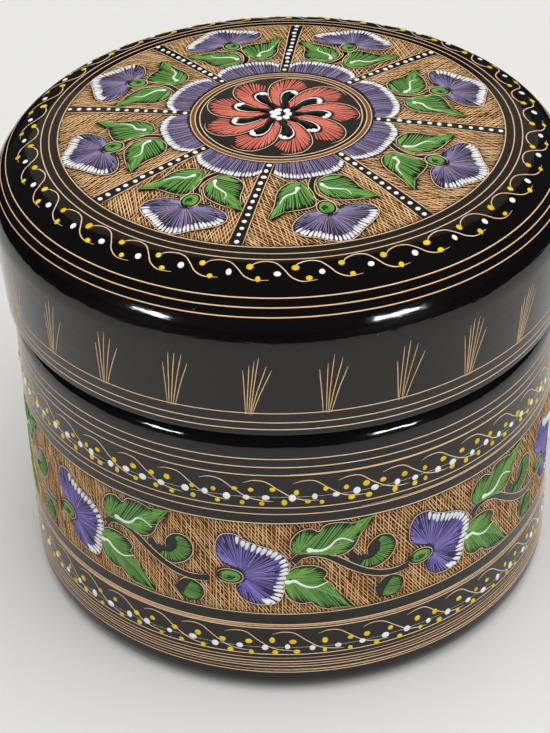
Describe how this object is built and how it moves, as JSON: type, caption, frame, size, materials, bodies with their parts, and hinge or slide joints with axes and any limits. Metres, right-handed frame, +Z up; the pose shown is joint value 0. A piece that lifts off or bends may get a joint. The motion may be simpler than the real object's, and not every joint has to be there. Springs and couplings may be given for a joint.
{
  "type": "lacquered trinket box",
  "caption": "Round turned-wood trinket box, lacquered black, with a shallow domed lid that lifts off a neck turned on the body.",
  "frame": {"origin": "centre of the foot, on the plane that the box stands on", "axes": "+Z up along the axis that the body and the lid are turned about"},
  "size_m": [0.1024, 0.1024, 0.09],
  "materials": {
    "body_lacquer": "gloss black lacquer on turned wood, scribed and painted",
    "lid_lacquer": "gloss black lacquer on turned wood, scribed and painted"
  },
  "bodies": {
    "body": {"box_body": "body_lacquer"},
    "lid": {"lid": "lid_lacquer"}
  },
  "joints": [
    {"name": "lid_lift", "type": "slide", "parent": "body", "child": "lid", "axis": [0, 0, 1], "range_m": [0, 0.045]}
  ]
}
